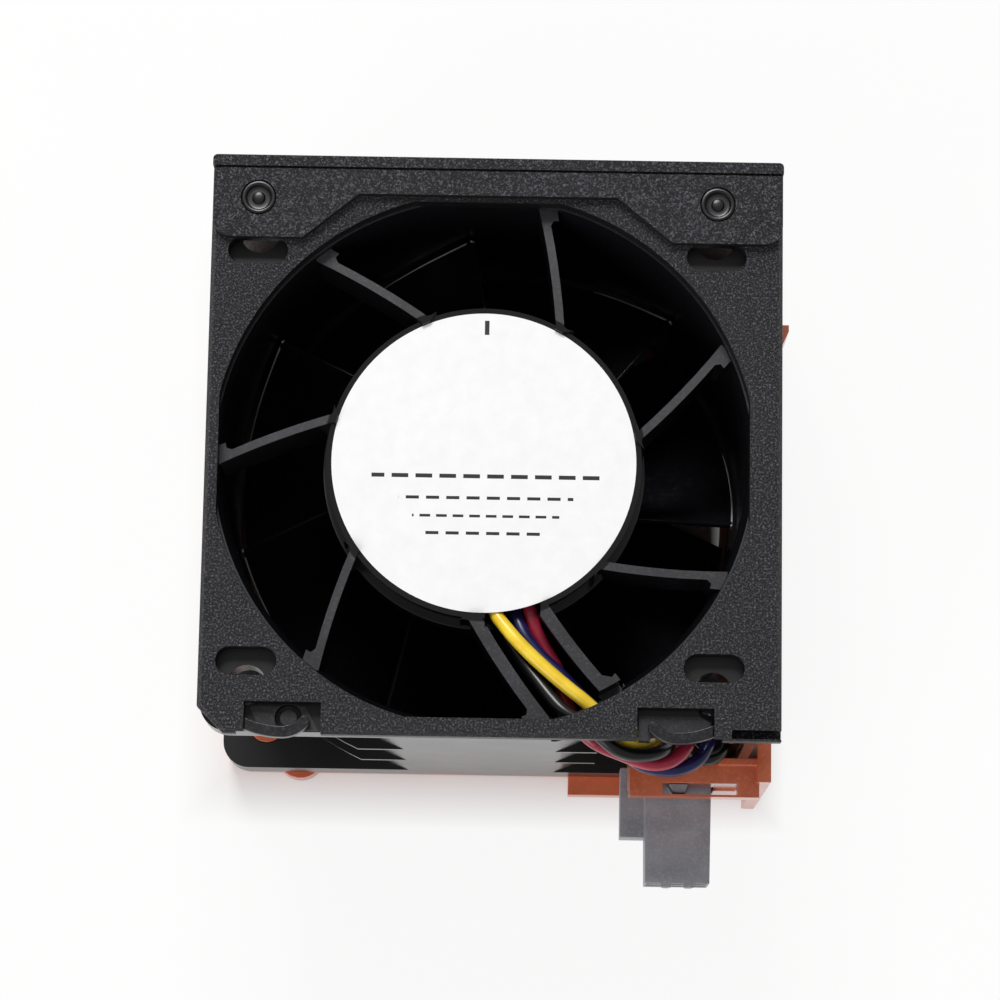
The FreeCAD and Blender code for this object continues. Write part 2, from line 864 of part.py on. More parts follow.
def left_spring_finger():
    z1 = plate_face
    z0 = z1 - finger_thickness
    half = finger_width / 2
    x0, y0 = -finger_low_x, finger_low_y

    def at(radius, degrees, offset):
        angle = math.radians(degrees)
        return x0 + (radius + offset) * math.sin(angle), y0 + radius - (radius + offset) * math.cos(angle)

    root, tip = finger_root_arc_radius, finger_tip_arc_radius
    root_angle = -math.degrees(math.asin((finger_hinge_x - finger_low_x) / root))
    strip = prism([
        at(root, root_angle, half),
        (at(root, root_angle / 2, half), at(root, 0, half)),
        (at(tip, finger_tip_angle / 2, half), at(tip, finger_tip_angle, half)),
        (at(tip, finger_tip_angle + math.degrees(half / tip), 0), at(tip, finger_tip_angle, -half)),
        (at(tip, finger_tip_angle / 2, -half), at(tip, 0, -half)),
        (at(root, root_angle / 2, -half), at(root, root_angle, -half)),
    ], z0, z1)
    z_skin = z1 - finger_knuckle_drop
    strip = strip.cut(block(-finger_hinge_x - past, -window_outer_x + finger_clearance,
                            plate_bottom - past, window_top, z_skin, z1 + past))
    return strip.fuse(disc(finger_knuckle_radius, z0, z_skin, -finger_hinge_x, finger_hinge_y()))


def right_spring_finger():
    return mirrored(left_spring_finger())


def top_cover():
    left, right = plate_left + flap_inset_left, plate_right - flap_inset_right
    r = flap_corner_radius
    k = r * (1 - math.sqrt(0.5))
    flap = prism([
        (left, cover_underside + cover_thickness / 2),
        (left, flap_bottom + r),
        ((left + k, flap_bottom + k), (left + r, flap_bottom)),
        (-flap_foot_x, flap_bottom),
        (-flap_waist_half, flap_waist),
        (flap_waist_half, flap_waist),
        (flap_foot_x, flap_bottom),
        (right - r, flap_bottom),
        ((right - k, flap_bottom + k), (right, flap_bottom + r)),
        (right, cover_underside + cover_thickness / 2),
    ], plate_face, flap_face)
    roof = block(plate_left, plate_right, cover_underside, cover_top, cover_back, flap_face)
    side_edges = [edge for edge in roof.Edges
                  if abs(edge.CenterOfMass.y - cover_top) < 1e-6 and abs(edge.tangentAt(0.0).z) > 0.9]
    roof = roof.makeFillet(cover_edge_radius, side_edges)
    cover = fused([flap, roof])
    cover = cover.cut(block(plate_left - past, plate_right + past, cover_underside - flap_line_width,
                            cover_underside, flap_face - flap_line_depth, flap_face + past))
    for index in range(cover_groove_count):
        z0 = cover_back + cover_groove_start + index * cover_groove_pitch
        cover = cover.cut(block(-cover_groove_half, cover_groove_half, cover_top - cover_groove_depth,
                                cover_top + past, z0, z0 + cover_groove_width))
    counterbore = rivet_head_radius + rivet_head_clearance
    for x in (-rivet_x, rivet_x):
        cover = cover.cut(disc(rivet_shank_radius, plate_face - past, flap_face + past, x, rivet_y))
        cover = cover.cut(disc(counterbore, flap_face - rivet_head_depth, flap_face + past, x, rivet_y))
    return cover


def cover_rivets():
    """Two push rivets: a headed shank with a ring-shaped dish around its pin."""
    rivets = []
    seat = flap_face - rivet_head_depth
    shank_start = fan_face + rivet_head_clearance
    dish_start = flap_face - rivet_dish_depth
    for x in (-rivet_x, rivet_x):
        head = disc(rivet_head_radius, seat, flap_face, x, rivet_y)
        shank = disc(rivet_shank_radius - rivet_shank_clearance, shank_start, seat, x, rivet_y)
        dish = ring(rivet_dish_outer, rivet_dish_inner, dish_start, flap_face + past, x, rivet_y)
        rivets.append(head.fuse(shank).cut(dish))
    return Part.makeCompound(rivets)


def rating_label():
    return disc(label_radius, base_top, base_top + label_thickness)


def holder():
    """The connector's pocket on the latch frame, with a slot over the connector's latch tab."""
    shell = block(holder_left, holder_right, holder_front, holder_back, holder_bottom, holder_top)
    ridge = block(holder_ridge_left, holder_right, holder_back - holder_ridge_width, holder_back,
                  holder_top - past, holder_top + holder_ridge_height)
    left = connector_x - connector_width / 2 - holder_clearance
    right = connector_x + connector_width / 2 + holder_clearance
    low = connector_z - connector_thickness / 2 - holder_clearance
    high = connector_z + connector_thickness / 2 + holder_clearance
    ear_low = low - ear_drop
    ear_high = ear_low + ear_thickness + 2 * holder_clearance
    front, back = holder_front - past, holder_back + past
    shell = fused([shell, ridge])
    for tool in (
        block(left, right, front, back, low, high),
        block(holder_left - past, left + past, front, back, ear_low, ear_high),
        block(window_slot_left, window_slot_right, holder_front + window_slot_front,
              holder_front + window_slot_front + window_slot_width, high - past, holder_top + past),
        block(right + holder_lip_depth, holder_right - holder_lip_depth,
              holder_front + holder_lip_depth * 2, back, holder_bottom - past, holder_top - holder_lip_depth),
        block(holder_left - past, holder_right + past, front, holder_front + holder_lip_depth,
              holder_bottom - past, holder_top - holder_lip_height),
    ):
        shell = shell.cut(tool)
    pillar = block(holder_left + holder_lip_depth, plate_right, ledge_front,
                   -half_side - holder_clearance / 4, 0, holder_bottom)
    bracket = block(plate_right - bracket_thickness, plate_right, -half_side - bracket_front,
                    -half_side + bracket_back, 0, bracket_top)
    return fused([shell, pillar, bracket])


def latch_post():
    inner = half_side + latch_post_gap
    outer = plate_right - 2 * latch_post_gap
    post = block(inner, outer, latch_post_bottom, latch_hinge_y, 0, latch_post_top)
    socket = disc(latch_knuckle_radius + knuckle_clearance, 0, latch_post_top + past,
                  latch_hinge_x, latch_hinge_y)
    return post.cut(socket)


def latch_frame():
    lower_edge = -half_side + latch_frame_recess
    plate = rounded_block(-half_side, plate_right, lower_edge, cover_underside, 0, latch_frame_thickness,
                          fan_corner_radius)
    ledge = block(ledge_left, plate_right, ledge_front, -half_side + past, 0, ledge_thickness)
    bump_radius = (bump_half ** 2 + bump_rise ** 2) / (2 * bump_rise)
    bump = disc(bump_radius, 0, latch_frame_thickness - bump_setback,
                bump_x, lower_edge - bump_rise + bump_radius)
    bump = bump.common(block(bump_x - bump_half, bump_x + bump_half, lower_edge - bump_rise - past,
                             lower_edge + past, 0, latch_frame_thickness))
    pegs = [disc(screw_hole_diameter / 2 - holder_clearance / 2, latch_frame_thickness - past,
                 fan_back + flange_thickness, x, y)
            for x, y in four_corners(screw_hole_offset, screw_hole_offset)]
    body = fused([plate, ledge, bump, holder(), latch_post()] + pegs)
    intake_radius = bore_radius - intake_margin
    body = body.cut(disc(intake_radius, -past, fan_back + past))
    return body.cut(Part.makeCone(mouth_radius, intake_radius, latch_frame_thickness, Vector(0, 0, 0)))


def release_latch():
    half = latch_arm_thickness / 2
    z0, z1 = latch_arm_start, latch_arm_start + latch_arm_width
    inner, outer = latch_hinge_x - half, latch_hinge_x + half
    shoulder = latch_hinge_y + latch_neck_half
    knuckle = disc(latch_knuckle_radius, z0, z1, latch_hinge_x, latch_hinge_y)
    neck = block(latch_hinge_x - latch_neck_half, latch_hinge_x + latch_neck_half,
                 latch_hinge_y, shoulder + past, z0, z1)
    arm = prism([
        (inner, shoulder),
        (outer, shoulder),
        (outer, latch_hook_bottom),
        (latch_hook_x - latch_hook_setback, latch_hook_top - latch_hook_face),
        (latch_hook_x, latch_hook_top - latch_hook_land),
        (latch_hook_x, latch_hook_top),
        (outer, latch_hook_top),
        (outer, latch_tip),
        (inner, latch_tip),
    ], z0, z1)
    ridges = []
    for index in range(3):
        y = latch_tip - latch_grip_length + index * 2 * latch_ridge_width
        ridges.append(block(outer - latch_ridge_rise / 2, outer + latch_ridge_rise, y, y + latch_ridge_width,
                            z0 + latch_ridge_rise, z1 - latch_ridge_rise))
    return fused([knuckle, neck, arm] + ridges)


# Connector and leads

def contact_cells():
    """Columns and rows of the connector's cavities, as (x, z)."""
    half = (contact_columns - 1) / 2
    return [(connector_x + (column - half) * contact_pitch, connector_z + row * contact_row_pitch / 2)
            for row in (1, -1) for column in range(contact_columns)]


def connector_housing():
    half = connector_width / 2
    low = connector_z - connector_thickness / 2
    high = connector_z + connector_thickness / 2
    body = prism([
        (connector_x - half, connector_back),
        (connector_x + half, connector_back),
        (connector_x + half - connector_taper, connector_front),
        (connector_x - half + connector_taper, connector_front),
    ], low, high)
    ear_low = low - ear_drop
    ear = block(connector_x - half - ear_width, connector_x - half + 2 * connector_taper, ear_front, ear_back,
                ear_low, ear_low + ear_thickness)
    tab_y = holder_front + window_slot_front + holder_clearance
    tab_x = window_slot_left + 3 * holder_clearance
    tab_back = tab_y + tab_depth
    tab = prism([(tab_x, tab_back), (tab_x + tab_length, tab_back), (tab_x + tab_length - tab_lean, tab_y),
                 (tab_x + 2 * tab_lean, tab_y)], high - past, holder_top - 2 * holder_clearance)
    teeth = []
    for side in (-1, 1):
        x = connector_x + side * contact_pitch / 2
        teeth.append(block(x - tooth_width / 2, x + tooth_width / 2, connector_front - tooth_length,
                           connector_front + past, high - tooth_height, high))
    body = fused([body, ear, tab] + teeth)
    gap = cavity_size / 2
    for x, z in contact_cells():
        body = body.cut(block(x - gap, x + gap, connector_front - past, connector_back + past,
                              z - gap, z + gap))
    return body


def contact_terminals():
    """Four crimped box contacts, one on the end of each lead."""
    half = cavity_size / 2 - holder_clearance / 2
    contacts = []
    for x, z in used_cells():
        y0 = connector_front + contact_setback
        box = block(x - half, x + half, y0, y0 + contact_length, z - half, z + half)
        inside = half - contact_wall
        hole = block(x - inside, x + inside, y0 - past, y0 + contact_length - contact_wall,
                     z - inside, z + inside)
        contacts.append(box.cut(hole))
    return Part.makeCompound(contacts)


def used_cells():
    cells = contact_cells()
    return [cells[0], cells[1], cells[2], cells[5]]


def lead_points(start):
    """A lead's hand-laid corners, run on into its cavity in the connector."""
    x, z = start[-1][0], start[-1][2]
    return start + [(x, lead_end, z)]


def smooth_path(points, name):
    """Straight runs joined by tangent arcs, each as large as its two runs allow."""
    corners = [Vector(*point) for point in points]
    edges = []
    here = corners[0]
    radii = []
    for before, corner, after in zip(corners, corners[1:], corners[2:]):
        back, ahead = before.sub(corner), after.sub(corner)
        cut = 0.45 * min(back.Length, ahead.Length)
        turn = math.pi - back.getAngle(ahead)
        radius = cut / math.tan(turn / 2)
        back.normalize()
        ahead.normalize()
        start, end = corner.add(back * cut), corner.add(ahead * cut)
        bisector = back.add(ahead)
        bisector.normalize()
        centre = corner.add(bisector * math.hypot(radius, cut))
        middle = centre.sub(bisector * radius)
        edges.append(Part.LineSegment(here, start).toShape())
        edges.append(Part.Arc(start, middle, end).toShape())
        here = end
        radii.append(radius)
    edges.append(Part.LineSegment(here, corners[-1]).toShape())
    print(name, "radii", " ".join(f"{radius:.1f}" for radius in radii))
    return Part.Wire(edges)


def lead(name):
    path = smooth_path(lead_points(lead_routes()[name]), name)
    start = path.Edges[0]
    direction = start.tangentAt(start.FirstParameter)
    circle = Part.Circle(start.valueAt(start.FirstParameter), direction, lead_diameter / 2)
    tube = path.makePipeShell([Part.Wire(circle.toShape())], True, False)
    expected = math.pi * lead_diameter ** 2 / 4 * path.Length
    print(name, f"length {path.Length:.1f} volume {tube.Volume:.2f} of {expected:.2f}")
    return tube


def lead_routes():
    """Each lead from the board, between two struts and over the barrel, to its connector cavity."""
    low = fan_face - lead_stack_drop
    high = low + lead_diameter + lead_layer_gap
    cells = used_cells()
    return {
        "lead_yellow": [
            (1.25, -14.2, board_top + 2.85), (1.4, -16.5, high - 0.9), (3.9, -19.6, high),
            (6.5, -22.1, high), (9.1, -24.3, high), (11.7, -26.3, high), (13.7, -28.2, high - 0.3),
            (15.4, -29.6, high - 1.8), (16.9, -30.2, high - 3.2), (18.3, -30.0, high - 4.6),
            (19.2, -28.9, 33.4), (19.3, -26.9, 29.6), (19.5, -25.8, 25.4),
            (cells[0][0], -27.6, cells[0][1]),
        ],
        "lead_red": [
            (5.0, -13.4, board_top + 1.5), (5.25, -15.9, low - 0.4), (5.9, -18.0, low - 0.8),
            (7.1, -20.2, low - 1.5), (8.4, -22.1, low - 1.7), (8.9, -24.3, low - 1.6),
            (9.5, -26.3, low - 1.0), (10.5, -28.3, low - 0.9), (11.9, -29.8, low - 1.0),
            (13.4, -30.6, low - 1.4), (15.2, -31.2, low - 1.9), (17.3, -31.9, low - 2.7),
            (19.0, -32.2, low - 3.3), (20.5, -31.95, low - 3.6), (21.8, -31.15, low - 3.9),
            (22.7, -30.0, low - 4.4), (23.2, -28.3, 33.2), (22.9, -26.4, 29.6),
            (22.5, -25.4, 25.4), (cells[1][0], -27.6, cells[1][1]),
        ],
        "lead_blue": [
            (3.3, -13.4, board_top + 1.2), (3.5, -16.0, low - 0.7), (4.6, -18.7, low),
            (6.3, -20.9, low), (8.5, -22.8, low + 0.1), (10.8, -25.1, low - 0.2),
            (12.5, -26.5, low - 0.4), (13.8, -28.4, low - 0.7), (14.9, -29.7, low - 2.7),
            (16.1, -31.0, low - 4.5), (17.8, -32.1, low - 5.3), (19.7, -32.5, low - 5.5),
            (21.4, -32.5, low - 5.6), (22.95, -32.0, low - 5.7), (24.2, -31.1, low - 5.9),
            (25.0, -29.7, low - 6.2), (25.3, -27.9, 32.0), (25.0, -26.2, 29.2),
            (24.8, -25.7, 25.3), (cells[2][0], -27.6, cells[2][1]),
        ],
        "lead_black": [
            (1.65, -13.6, board_top + 1.15), (1.7, -16.4, low - 1.2), (3.1, -19.5, low - 0.6),
            (5.1, -22.3, low), (7.2, -25.1, high - 0.7), (8.9, -27.1, high), (10.9, -28.2, high),
            (12.9, -29.6, high - 0.5), (14.6, -31.0, high - 1.2), (16.4, -31.55, high - 2.0),
            (18.4, -31.4, high - 2.9), (20.0, -30.8, high - 3.9), (20.6, -30.0, high - 5.4),
            (21.2, -28.9, 33.1), (22.6, -29.3, 31.4), (24.6, -31.1, 31.4), (26.3, -30.5, 30.6),
            (27.2, -28.6, 29.2), (27.1, -26.6, 26.4), (26.3, -25.6, 22.4),
            (cells[3][0], -27.6, cells[3][1]),
        ],
    }


pieces = {
    "fan_frame": fan_frame,
    "rating_label": rating_label,
    "circuit_board": circuit_board,
    "driver_chip": driver_chip,
    "hall_sensor": hall_sensor,
    "filter_capacitor": capacitor,
    "chip_resistors": small_resistors,
    "stator_core": stator_core,
    "stator_insulators": stator_insulators,
    "stator_windings": stator_windings,
    "bearing_outer_rings": bearing_outer_rings,
    "bearing_inner_rings": bearing_inner_rings,
    "bearing_balls": bearing_balls,
    "impeller": impeller,
    "hub_bushing": hub_bushing,
    "rotor_yoke": rotor_yoke,
    "magnet_ring": magnet_ring,
    "shaft": shaft,
    "retaining_clip": retaining_clip,
    "preload_spring": preload_spring,
    "exhaust_plate": exhaust_plate,
    "left_spring_finger": left_spring_finger,
    "right_spring_finger": right_spring_finger,
    "top_cover": top_cover,
    "cover_rivets": cover_rivets,
    "latch_frame": latch_frame,
    "release_latch": release_latch,
    "connector_housing": connector_housing,
    "contact_terminals": contact_terminals,
}

os.makedirs("parts", exist_ok=True)
for node, make in pieces.items():
    make().exportStep(f"parts/{node}.step")
for node in lead_routes():
    lead(node).exportStep(f"parts/{node}.step")
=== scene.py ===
import math
import bmesh
import bpy
from mathutils import Matrix, Vector


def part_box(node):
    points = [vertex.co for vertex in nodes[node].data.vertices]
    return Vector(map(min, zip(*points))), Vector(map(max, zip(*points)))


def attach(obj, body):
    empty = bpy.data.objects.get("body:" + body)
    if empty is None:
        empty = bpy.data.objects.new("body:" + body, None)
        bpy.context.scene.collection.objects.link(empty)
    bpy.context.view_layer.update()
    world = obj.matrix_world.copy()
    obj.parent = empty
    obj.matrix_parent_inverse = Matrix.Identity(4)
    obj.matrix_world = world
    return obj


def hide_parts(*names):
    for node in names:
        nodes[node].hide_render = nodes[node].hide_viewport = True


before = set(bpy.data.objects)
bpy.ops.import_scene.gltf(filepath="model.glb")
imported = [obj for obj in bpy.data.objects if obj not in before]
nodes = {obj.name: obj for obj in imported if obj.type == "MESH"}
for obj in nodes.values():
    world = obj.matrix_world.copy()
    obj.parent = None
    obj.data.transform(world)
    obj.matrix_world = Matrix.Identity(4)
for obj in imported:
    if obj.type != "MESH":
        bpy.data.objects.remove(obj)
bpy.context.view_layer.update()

mm = 0.001
print("frame loaded:", len(nodes), "nodes")


def hexToLinear(code):
    channels = []
    for start in (0, 2, 4):
        value = int(code[start:start + 2], 16) / 255
        channels.append(value / 12.92 if value <= 0.04045 else ((value + 0.055) / 1.055) ** 2.4)
    return (*channels, 1.0)


def addNode(tree, kind, inputs=None, give=0, **settings):  # links sockets, sets values, hands back one output
    node = tree.nodes.new(kind)
    for name, value in settings.items():
        setattr(node, name, value)
    for name, value in (inputs or {}).items():
        if isinstance(value, bpy.types.NodeSocket):
            tree.links.new(value, node.inputs[name])
        else:
            node.inputs[name].default_value = hexToLinear(value) if isinstance(value, str) else value
    return node.outputs[give]


inColour = {"give": 2, "data_type": "RGBA"}  # for a Mix node that blends colours


def startMaterial(name):
    material = bpy.data.materials.new(name)
    material.use_nodes = True
    tree = material.node_tree
    shader = tree.nodes["Principled BSDF"]
    return material, tree, shader, addNode(tree, "ShaderNodeTexCoord", give="Object")


def finishShader(tree, shader, colour, gloss, height, strength, depthMm):
    bump = addNode(tree, "ShaderNodeBump", {"Height": height, "Strength": strength, "Distance": depthMm * mm})
    for name, socket in (("Base Color", colour), ("Roughness", gloss), ("Normal", bump)):
        tree.links.new(socket, shader.inputs[name])


def perMm(size):  # noise scale that makes features this many millimetres wide
    return 1 / (size * mm)


wallTurn = {"around": (0.85, 0.45), "front": (-0.45, -0.85)}  # normal where a wall's look starts and is whole


def turnedAside(tree, way):  # 1 on walls, 0 on faces that look up or down; "front" takes only walls towards -Y
    normal = addNode(tree, "ShaderNodeTexCoord", give="Normal")
    axes = addNode(tree, "ShaderNodeSeparateXYZ", {"Vector": normal}).node.outputs
    lean = axes["Y"] if way == "front" else addNode(tree, "ShaderNodeMath", {0: axes["Z"]}, operation="ABSOLUTE")
    starts, whole = wallTurn[way]
    return addNode(tree, "ShaderNodeMapRange", {"Value": lean, "From Min": starts, "From Max": whole})


# the first share is where the frame keeps its grey; outside it a painted shade tone is laid on
def innerPart(tree, place, quiet):  # two shares: near the axis or high up but off the core, and off the core
    axes = addNode(tree, "ShaderNodeSeparateXYZ", {"Vector": place}).node.outputs
    flat = addNode(tree, "ShaderNodeCombineXYZ", {"X": axes["X"], "Y": axes["Y"]})
    reach = addNode(tree, "ShaderNodeVectorMath", {0: flat}, "Value", operation="LENGTH")
    limits = ((reach, quiet["radius"], -quiet["wideFade"]), (axes["Z"], quiet["level"], quiet["fade"]),
              (reach, quiet["core"], quiet["fade"]))
    near, high, outside = (addNode(tree, "ShaderNodeMapRange", {  # a fade below 0 turns a share round
        "Value": length, "From Min": (limit - fade) * mm, "From Max": (limit + fade) * mm})
        for length, limit, fade in limits)
    either = addNode(tree, "ShaderNodeMath", {0: near, 1: high}, operation="MAXIMUM")
    return addNode(tree, "ShaderNodeMath", {0: either, 1: outside}, operation="MULTIPLY"), outside


mouldedBase = {  # what a moulded plastic has unless its own look says otherwise
    "detail": 3.0, "tangle": 0.0, "coarse": 0.62, "driftDetail": 2.0, "driftFrom": 0.35, "driftTo": 0.65,
    "mirror": 0.5, "skin": 0.0, "skinGloss": 0.18}


def mouldedPlastic(name, ownLook):
    # grain from the mould's surface, a slow drift of tone from flow and handling, and a broken sheen
    look = {**mouldedBase, **ownLook}
    material, tree, shader, place = startMaterial(name)
    grain = addNode(tree, "ShaderNodeTexNoise", {
        "Vector": place, "Scale": perMm(look["grainMm"]), "Detail": look["detail"], "Roughness": look["coarse"],
        "Distortion": look["tangle"]}, "Fac")
    drift = addNode(tree, "ShaderNodeTexNoise", {
        "Vector": place, "Scale": perMm(look["driftMm"]), "Detail": look["driftDetail"]}, "Fac")
    slow = addNode(tree, "ShaderNodeMapRange", {
        "Value": drift, "From Min": look["driftFrom"], "From Max": look["driftTo"]})
    flecks = addNode(tree, "ShaderNodeMapRange", {
        "Value": grain, "From Min": look["fleckFrom"], "From Max": look["fleckTo"]})
    colour = addNode(tree, "ShaderNodeMix", {"Factor": slow, "A": look["dark"], "B": look["light"]}, **inColour)
    colour = addNode(tree, "ShaderNodeMix", {"Factor": flecks, "A": colour, "B": look["fleck"]}, **inColour)
    gloss = addNode(tree, "ShaderNodeMapRange", {
        "Value": drift, "To Min": look["roughFrom"], "To Max": look["roughTo"]})
    if "quiet" in look:  # the part that keeps its dull grey, in mm; outside it, the core included, the frame takes a darker tone, a painted shade under the plate, and the core is also sleeker
        quiet = look["quiet"]
        dull, outside = innerPart(tree, place, quiet)
        colour = addNode(tree, "ShaderNodeMix", {
            "Factor": dull, "A": quiet["paintedShadeTone"], "B": colour}, **inColour)
        keep = addNode(tree, "ShaderNodeMapRange", {"Value": outside, "To Min": quiet["coreGloss"]})
        gloss = addNode(tree, "ShaderNodeMath", {0: gloss, 1: keep}, operation="MULTIPLY")
    if "wall" in look:  # walls, painted darker in colour as painted shade, with their roughness scaled
        wall = look["wall"]
        aside = turnedAside(tree, wall["way"])
        colour = addNode(tree, "ShaderNodeMix", {"Factor": aside, "A": colour, "B": wall["colour"]}, **inColour)
        keep = addNode(tree, "ShaderNodeMapRange", {"Value": aside, "To Min": 1.0, "To Max": wall["gloss"]})
        gloss = addNode(tree, "ShaderNodeMath", {0: gloss, 1: keep}, operation="MULTIPLY")
    finishShader(tree, shader, colour, gloss, grain, look["bumpStrength"], look["grainDepthMm"])
    for name, key in (("IOR", "ior"), ("Specular IOR Level", "mirror"), ("Coat Weight", "skin"),
                      ("Coat Roughness", "skinGloss")):
        shader.inputs[name].default_value = look[key]
    return material


lineLook = {"detail": 4.0, "strength": 0.25}


def workedMetal(name, look):
    # fine lines or pits left by the tool, and a tone that drifts a little with them
    material, tree, shader, place = startMaterial(name)
    stretch = addNode(tree, "ShaderNodeMapping", {"Vector": place, "Scale": look["stretch"]})
    lines = addNode(tree, "ShaderNodeTexNoise", {
        "Vector": stretch, "Scale": perMm(look["lineMm"]), "Detail": lineLook["detail"]}, "Fac")
    colour = addNode(tree, "ShaderNodeMix", {"Factor": lines, "A": look["dark"], "B": look["light"]}, **inColour)
    gloss = addNode(tree, "ShaderNodeMapRange", {
        "Value": lines, "To Min": look["roughFrom"], "To Max": look["roughTo"]})
    finishShader(tree, shader, colour, gloss, lines, lineLook["strength"], look["lineDepthMm"])
    shader.inputs["Metallic"].default_value = 1.0
    return material


def dress(nodeName, material):  # a CAD node keeps its shape and gets a finished surface
    mesh = nodes[nodeName].data
    mesh.materials.clear()
    mesh.materials.append(material)


edgeLook = {"weldMm": 0.002, "flattenDegrees": 0.5, "segments": 2, "degrees": 32, "weight": 100}


def roundEdges(nodeName, widthMm):  # the small radii that a mould or a tool leaves
    piece = nodes[nodeName]
    weld = piece.modifiers.new("weld", "WELD")
    weld.merge_threshold = edgeLook["weldMm"] * mm
    flatten = piece.modifiers.new("flatten", "DECIMATE")
    flatten.decimate_type = "DISSOLVE"
    flatten.angle_limit = math.radians(edgeLook["flattenDegrees"])
    bevel = piece.modifiers.new("round", "BEVEL")
    bevel.width = widthMm * mm
    bevel.segments = edgeLook["segments"]
    bevel.limit_method = "ANGLE"
    bevel.angle_limit = math.radians(edgeLook["degrees"])
    bevel.use_clamp_overlap = True
    flat = piece.modifiers.new("flatFaces", "WEIGHTED_NORMAL")
    flat.mode = "FACE_AREA"
    flat.weight = edgeLook["weight"]
    flat.keep_sharp = True
    smoothShading(piece.data)


def smoothShading(mesh):
    mesh.polygons.foreach_set("use_smooth", [True] * len(mesh.polygons))
    mesh.set_sharp_from_angle(angle=math.radians(edgeLook["degrees"]))


def newPiece(name, build, material, body, stoodFor=()):
    mesh = bpy.data.meshes.new(name)
    work = bmesh.new()
    build(work)
    bmesh.ops.recalc_face_normals(work, faces=work.faces)
    work.to_mesh(mesh)
    work.free()
    smoothShading(mesh)
    mesh.materials.append(material)
    piece = bpy.data.objects.new(name, mesh)
    bpy.context.scene.collection.objects.link(piece)
    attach(piece, body)
    if stoodFor:
        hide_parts(*stoodFor)
    return piece


def latheInto(work, profile, centre, steps=96):  # profile points are (radius, z) in mm, turned about centre
    middle = Vector((*centre, 0.0))
    angles = [k * math.tau / steps for k in range(steps)]
    turns = [Vector((math.cos(angle), math.sin(angle), 0.0)) for angle in angles]
    rings = []
    for radius, z in profile:
        around = turns if radius > 0 else turns[:1]  # a point on the axis is one vertex
        rings.append([work.verts.new((middle + radius * turn + Vector((0.0, 0.0, z))) * mm) for turn in around])
    for low, high in zip(rings, rings[1:]):
        for k in range(steps):
            n = (k + 1) % steps
            corners = [low[k % len(low)], low[n % len(low)], high[n % len(high)], high[k % len(high)]]
            work.faces.new(list(dict.fromkeys(corners)))


plateAbs = {  # charcoal ABS with the pebbled grain of an eroded mould; its pale flecks are partly the grain's own tone and partly painted highlights for its sparkle, and its walls are painted darker, a painted shade
    "dark": "0e0e10", "light": "161619", "fleck": "84848d", "grainMm": 0.22, "driftMm": 9.0,
    "fleckFrom": 0.5, "fleckTo": 0.8, "roughFrom": 0.42, "roughTo": 0.54, "bumpStrength": 1.0,
    "grainDepthMm": 0.3, "detail": 4.0, "tangle": 0.3, "mirror": 0.42, "ior": 1.5,
    "wall": {"way": "around", "colour": "0b0b0d", "gloss": 0.7}}
sparkErodedAbs = mouldedPlastic("sparkErodedAbs", plateAbs)
coverAbsShadedFront = mouldedPlastic("sparkErodedAbsCover", {  # the same grain, with its front edge, the walls facing -Y, painted nearly black: a painted shadow along the flap's front edge
    **plateAbs, "wall": {"way": "front", "colour": "060607", "gloss": 1.0}})
satinAbs = mouldedPlastic("satinAbs", {  # the sprung fingers, from a smoother mould, with clean highlights
    "dark": "131315", "light": "1b1b1e", "fleck": "3a3a3f", "grainMm": 0.35, "driftMm": 2.0,
    "fleckFrom": 0.5, "fleckTo": 0.8, "roughFrom": 0.26, "roughTo": 0.36, "bumpStrength": 0.35,
    "grainDepthMm": 0.03, "ior": 1.5})
smoothPbt = mouldedPlastic("smoothPbt", {  # glass-filled PBT: dull grey on top of the struts; its walls are glossier and painted black, a painted shade
    "dark": "1f1f22", "light": "28282c", "fleck": "45454b", "grainMm": 0.3, "driftMm": 6.0,
    "fleckFrom": 0.5, "fleckTo": 0.8, "roughFrom": 0.36, "roughTo": 0.46, "bumpStrength": 0.3,
    "grainDepthMm": 0.02, "ior": 1.55, "wall": {"way": "around", "colour": "101013", "gloss": 0.6},
    # the frame outside the bore below the plate, and the core round the label, take the painted shade tone
    "quiet": {"radius": 30.0, "core": 17.6, "level": 42.2, "wideFade": 0.5, "fade": 0.1,
              "coreGloss": 0.35, "paintedShadeTone": "0c0c0e"}})
polishedPbt = mouldedPlastic("polishedPbt", {  # blade plastic from a polished mould, nearly black
    "dark": "101014", "light": "18181c", "fleck": "222227", "grainMm": 0.8, "driftMm": 12.0,
    "fleckFrom": 0.5, "fleckTo": 0.8, "roughFrom": 0.2, "roughTo": 0.28, "bumpStrength": 0.08,
    "grainDepthMm": 0.01, "ior": 1.5})
tipGlintPbt = mouldedPlastic("tipGlintPbt", {  # pale material for beads on the blade tips: painted glints
    "dark": "c0c0c4", "light": "d8d8dc", "fleck": "f0f0f2", "grainMm": 0.5, "driftMm": 4.0,
    "fleckFrom": 0.5, "fleckTo": 0.8, "roughFrom": 0.2, "roughTo": 0.3, "bumpStrength": 0.1,
    "grainDepthMm": 0.01, "ior": 1.5})
glossyNylon = mouldedPlastic("glossyNylon", {  # rivet heads, black and shiny from a polished pin tool
    "dark": "060608", "light": "0c0c0f", "fleck": "18181c", "grainMm": 0.6, "driftMm": 3.0,
    "fleckFrom": 0.5, "fleckTo": 0.8, "roughFrom": 0.26, "roughTo": 0.36, "bumpStrength": 0.06,
    "grainDepthMm": 0.01, "ior": 1.53})
mouldedTerracottaAbs = mouldedPlastic("mouldedTerracottaAbs", {  # coloured through, with a sleek skin
    "dark": "c05c38", "light": "d4704a", "fleck": "dc7f5c", "grainMm": 0.4, "driftMm": 5.0,
    "fleckFrom": 0.5, "fleckTo": 0.85, "roughFrom": 0.3, "roughTo": 0.4, "bumpStrength": 0.2,
    "grainDepthMm": 0.02, "ior": 1.5, "skin": 0.6})
